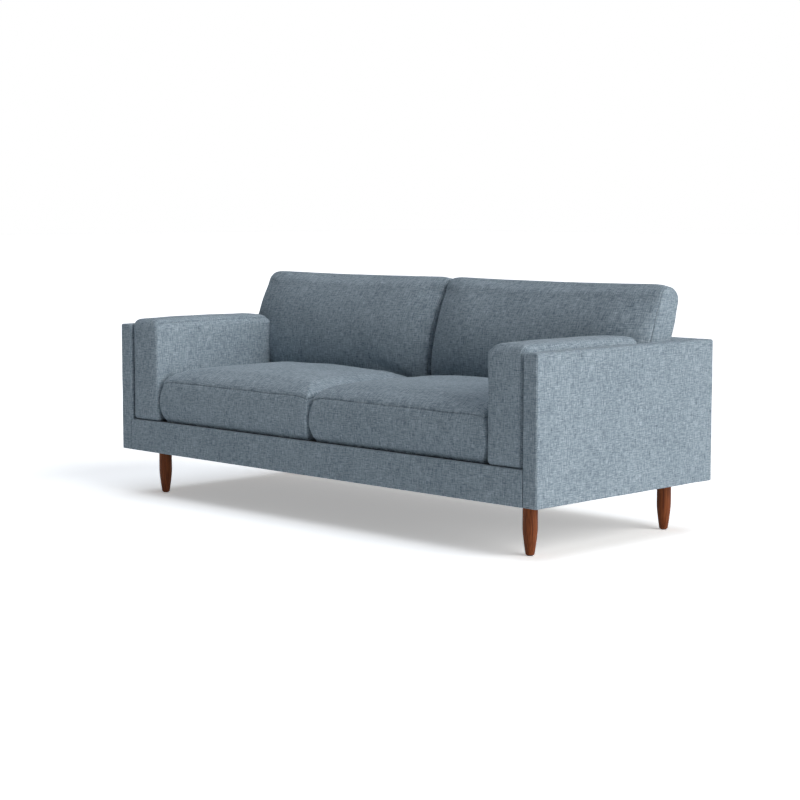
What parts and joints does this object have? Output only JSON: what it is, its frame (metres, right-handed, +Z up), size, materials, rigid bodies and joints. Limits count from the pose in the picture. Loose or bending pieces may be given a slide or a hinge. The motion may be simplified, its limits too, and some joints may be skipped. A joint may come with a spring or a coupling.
{
  "type": "loveseat",
  "caption": "Loveseat with thin upholstered side and back panels, loose boxed seat and back cushions, bolster arm pads and turned tapered wooden legs.",
  "frame": {"origin": "on the floor, under the middle of the sofa's footprint", "axes": "+Z up, +X to the right of someone who looks at the sofa from the front, -Y towards the front"},
  "size_m": [2.134, 0.914, 0.8525],
  "materials": {
    "upholstery_cloth": "matte",
    "cushion_cloth": "matte",
    "foam": "matte",
    "fibre_fill": "matte",
    "deck_cloth": "matte",
    "deck_felt": "matte",
    "dust_cloth": "matte",
    "webbing": "matte",
    "leg_walnut": "satin",
    "frame_wood": "matte",
    "plywood": "matte",
    "zinc_steel": "satin",
    "spring_steel": "satin",
    "glide_nylon": "matte",
    "zip_tape": "matte"
  },
  "bodies": {
    "sofa_frame": {"arm_pad_board_left": "plywood", "arm_pad_board_right": "plywood", "arm_pad_bolts": "zinc_steel", "arm_pad_cover_left": "cushion_cloth", "arm_pad_cover_right": "cushion_cloth", "arm_pad_foam_left": "foam", "arm_pad_foam_right": "foam", "back_board": "plywood", "back_cover": "upholstery_cloth", "back_ribs": "plywood", "back_top_rail": "frame_wood", "back_webbing": "webbing", "centre_rail": "frame_wood", "corner_blocks": "frame_wood", "deck_cloth": "deck_cloth", "deck_pad": "deck_felt", "dust_cover": "dust_cloth", "front_rail": "frame_wood", "front_rail_cover": "upholstery_cloth", "leg_bolts": "zinc_steel", "leg_front_left": "leg_walnut", "leg_front_right": "leg_walnut", "leg_glides": "glide_nylon", "leg_rear_left": "leg_walnut", "leg_rear_right": "leg_walnut", "leg_tee_nuts": "zinc_steel", "rear_rail": "frame_wood", "seat_springs": "spring_steel", "side_battens_left": "frame_wood", "side_battens_right": "frame_wood", "side_board_left": "plywood", "side_board_right": "plywood", "side_bolts": "zinc_steel", "side_cover_left": "upholstery_cloth", "side_cover_right": "upholstery_cloth", "side_rail_left": "frame_wood", "side_rail_right": "frame_wood", "side_tee_nuts": "zinc_steel", "spring_clips": "zinc_steel", "spring_rails": "frame_wood"},
    "seat_cushion_left": {"seat_cover_left": "cushion_cloth", "seat_foam_left": "foam", "seat_zip_left": "zip_tape"},
    "back_cushion_left": {"back_cushion_cover_left": "cushion_cloth", "back_cushion_fill_left": "fibre_fill", "back_cushion_zip_left": "zip_tape"},
    "seat_cushion_right": {"seat_cover_right": "cushion_cloth", "seat_foam_right": "foam", "seat_zip_right": "zip_tape"},
    "back_cushion_right": {"back_cushion_cover_right": "cushion_cloth", "back_cushion_fill_right": "fibre_fill", "back_cushion_zip_right": "zip_tape"}
  },
  "joints": [
    {"name": "seat_cushion_left_lift", "type": "slide", "parent": "sofa_frame", "child": "seat_cushion_left", "axis": [0, 0, 1], "range_m": [0, 0.42]},
    {"name": "back_cushion_left_lift", "type": "slide", "parent": "sofa_frame", "child": "back_cushion_left", "axis": [0, 0.225, 0.9744], "range_m": [0, 0.4]},
    {"name": "seat_cushion_right_lift", "type": "slide", "parent": "sofa_frame", "child": "seat_cushion_right", "axis": [0, 0, 1], "range_m": [0, 0.42]},
    {"name": "back_cushion_right_lift", "type": "slide", "parent": "sofa_frame", "child": "back_cushion_right", "axis": [0, 0.225, 0.9744], "range_m": [0, 0.4]}
  ]
}
